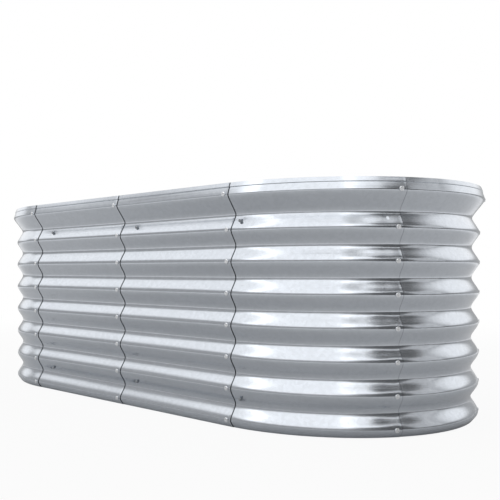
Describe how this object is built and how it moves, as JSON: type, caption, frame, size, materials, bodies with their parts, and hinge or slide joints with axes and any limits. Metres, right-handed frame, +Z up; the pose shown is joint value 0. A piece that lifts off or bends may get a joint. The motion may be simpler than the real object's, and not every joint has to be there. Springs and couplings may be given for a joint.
{
  "type": "raised garden bed",
  "caption": "Oval raised garden bed of corrugated zinc-coated steel panels, lapped and bolted at upright seams, open at top and bottom, with cross rods between the long sides.",
  "frame": {"origin": "centre of the bed at ground level, the bottom centre of its bounding box", "axes": "+X along the length towards the end nearer the camera, +Y across the bed towards the far long side, +Z up"},
  "size_m": [1.686, 0.8328, 0.6],
  "materials": {
    "zinc_coated_sheet": "semi-gloss zinc-aluminium coating on rolled steel sheet",
    "zinc_plated_rod": "satin zinc plate",
    "bright_bolt_heads": "polished stainless steel",
    "zinc_plated_nuts": "satin zinc plate"
  },
  "bodies": {
    "root": {"back_left_bolts": "bright_bolt_heads", "back_left_nuts": "zinc_plated_nuts", "back_left_panel": "zinc_coated_sheet", "back_middle_bolts": "bright_bolt_heads", "back_middle_nuts": "zinc_plated_nuts", "back_right_bolts": "bright_bolt_heads", "back_right_nuts": "zinc_plated_nuts", "back_right_panel": "zinc_coated_sheet", "front_left_bolts": "bright_bolt_heads", "front_left_nuts": "zinc_plated_nuts", "front_left_panel": "zinc_coated_sheet", "front_middle_bolts": "bright_bolt_heads", "front_middle_nuts": "zinc_plated_nuts", "front_right_bolts": "bright_bolt_heads", "front_right_nuts": "zinc_plated_nuts", "front_right_panel": "zinc_coated_sheet", "left_back_bolts": "bright_bolt_heads", "left_back_nuts": "zinc_plated_nuts", "left_back_panel": "zinc_coated_sheet", "left_front_bolts": "bright_bolt_heads", "left_front_nuts": "zinc_plated_nuts", "left_front_panel": "zinc_coated_sheet", "left_lower_rod": "zinc_plated_rod", "left_middle_panel": "zinc_coated_sheet", "left_upper_rod": "zinc_plated_rod", "middle_lower_rod": "zinc_plated_rod", "middle_upper_rod": "zinc_plated_rod", "right_back_bolts": "bright_bolt_heads", "right_back_nuts": "zinc_plated_nuts", "right_back_panel": "zinc_coated_sheet", "right_front_bolts": "bright_bolt_heads", "right_front_nuts": "zinc_plated_nuts", "right_front_panel": "zinc_coated_sheet", "right_lower_rod": "zinc_plated_rod", "right_middle_panel": "zinc_coated_sheet", "right_upper_rod": "zinc_plated_rod"}
  },
  "joints": []
}
